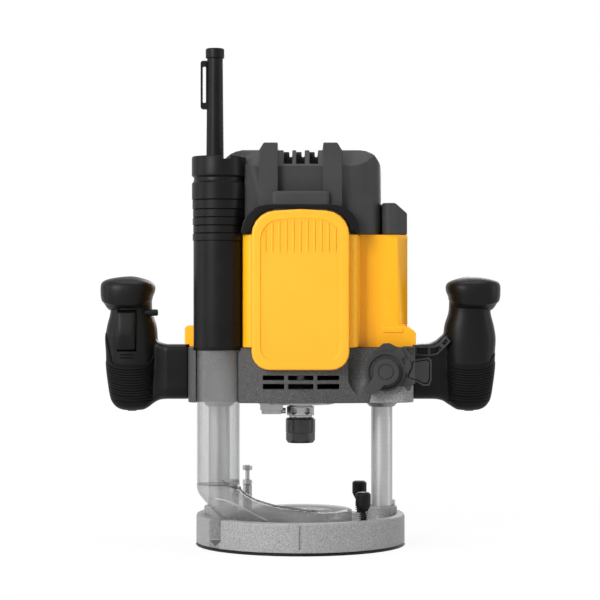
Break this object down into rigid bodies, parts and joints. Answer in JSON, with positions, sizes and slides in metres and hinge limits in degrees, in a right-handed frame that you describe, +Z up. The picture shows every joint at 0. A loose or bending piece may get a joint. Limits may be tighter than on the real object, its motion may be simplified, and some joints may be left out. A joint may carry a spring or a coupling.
{
  "type": "plunge router",
  "caption": "Plunge router: motor carriage with side grips sliding on columns over a round base, with clear dust duct, collet and depth stops.",
  "frame": {"origin": "centre of the sole's underside", "axes": "+Z up along the columns, -Y towards the front panel, +X towards the lock lever"},
  "size_m": [0.3192, 0.167, 0.398],
  "materials": {
    "cast_base": "sand textured",
    "casing_grey": "speckled dark paint",
    "yellow": "satin",
    "black_plastic": "fine grain",
    "grip_rubber": "ribbed",
    "clear_plastic": "clear, slightly smoky",
    "steel": "brushed",
    "spring_steel": "bright",
    "black_steel": "blackened",
    "lock_grey": "cast",
    "motor_iron": "laminated",
    "motor_brass": "bright"
  },
  "bodies": {
    "base": {"base_casting": "cast_base", "sole_plate": "black_plastic", "left_column": "steel", "right_column": "steel", "left_plunge_spring": "spring_steel", "right_plunge_spring": "spring_steel", "dust_tube": "clear_plastic", "dust_shroud": "clear_plastic", "front_clamp_spring": "spring_steel", "rear_clamp_spring": "spring_steel"},
    "carriage": {"casing": "casing_grey", "left_bush": "steel", "right_bush": "steel", "motor_housing": "yellow", "front_panel": "yellow", "motor_cap": "black_plastic", "left_column_cap": "black_plastic", "right_column_cap": "black_plastic", "dust_sleeve": "black_plastic", "hose_adaptor": "black_plastic", "cord_guard": "black_plastic", "left_handle": "black_plastic", "right_handle": "black_plastic", "left_pommel": "black_plastic", "right_pommel": "black_plastic", "left_grip_sleeve": "grip_rubber", "right_grip_sleeve": "grip_rubber", "lock_cover": "black_plastic", "retainer_plate": "steel", "stator": "motor_iron", "lower_bearing": "steel", "upper_bearing": "steel", "bearing_bracket": "lock_grey", "left_brush_holder": "motor_brass", "right_brush_holder": "motor_brass", "switch_block": "black_plastic", "left_spring_guide": "steel", "right_spring_guide": "steel"},
    "spindle": {"spindle": "steel", "armature": "motor_iron", "commutator": "motor_brass", "fan": "black_plastic", "collet": "steel"},
    "collet_nut": {"collet_nut": "black_steel"},
    "spindle_lock": {"spindle_lock": "lock_grey"},
    "lock_lever": {"lock_lever": "black_plastic", "lock_bolt": "steel"},
    "trigger": {"trigger": "black_plastic"},
    "lock_button": {"lock_button": "black_plastic"},
    "depth_rod": {"depth_rod": "steel"},
    "depth_clamp": {"depth_clamp_knob": "black_plastic"},
    "turret": {"turret": "lock_grey", "stop_screw_tall": "steel", "stop_nut_tall": "steel", "stop_screw_middle": "steel", "stop_nut_middle": "steel", "stop_screw_short": "steel", "stop_nut_short": "steel"},
    "front_clamp": {"front_clamp_knob": "black_plastic"},
    "rear_clamp": {"rear_clamp_knob": "black_plastic"}
  },
  "joints": [
    {"name": "plunge", "type": "slide", "parent": "base", "child": "carriage", "axis": [0, 0, 1], "range_m": [-0.065, 0], "stiffness_N_per_m": 450, "springref_m": 0.17, "deforming": ["left_plunge_spring", "right_plunge_spring"]},
    {"name": "spindle_turn", "type": "hinge", "parent": "carriage", "child": "spindle", "pos_m": [0, 0, 0.11], "axis": [0, 0, 1], "continuous": true},
    {"name": "nut_turn", "type": "hinge", "parent": "spindle", "child": "collet_nut", "pos_m": [0, 0, 0.081], "axis": [0, 0, 1], "continuous": true},
    {"name": "spindle_lock_press", "type": "slide", "parent": "carriage", "child": "spindle_lock", "axis": [1, 0, 0], "range_m": [0, 0.0033], "stiffness_N_per_m": 400, "springref_m": -0.003},
    {"name": "lock_lever_turn", "type": "hinge", "parent": "carriage", "child": "lock_lever", "pos_m": [0.066, -0.054, 0.1395], "axis": [0, -1, 0], "range_deg": [0, 40]},
    {"name": "trigger_press", "type": "hinge", "parent": "carriage", "child": "trigger", "pos_m": [-0.1376, -0.0125, 0.157], "axis": [-1, 0, 0], "range_deg": [0, 8], "stiffness_Nm_per_rad": 0.4, "springref_deg": -8.59},
    {"name": "lock_button_press", "type": "slide", "parent": "carriage", "child": "lock_button", "axis": [-1, 0, 0], "range_m": [0, 0.003], "stiffness_N_per_m": 300, "springref_m": -0.002},
    {"name": "depth_slide", "type": "slide", "parent": "carriage", "child": "depth_rod", "axis": [0, 0, -1], "range_m": [0, 0.065]},
    {"name": "depth_clamp_turn", "type": "hinge", "parent": "carriage", "child": "depth_clamp", "pos_m": [-0.0542, 0.05624, 0.142], "axis": [0, 1, 0], "range_deg": [0, 180]},
    {"name": "turret_turn", "type": "hinge", "parent": "base", "child": "turret", "pos_m": [-0.0506, 0.038, 0.018], "axis": [0, 0, 1], "continuous": true},
    {"name": "front_clamp_turn", "type": "hinge", "parent": "base", "child": "front_clamp", "pos_m": [0.0486, -0.051, 0.031], "axis": [0, 0, 1], "range_deg": [0, 180]},
    {"name": "rear_clamp_turn", "type": "hinge", "parent": "base", "child": "rear_clamp", "pos_m": [0.0486, 0.051, 0.031], "axis": [0, 0, 1], "range_deg": [0, 180]}
  ]
}
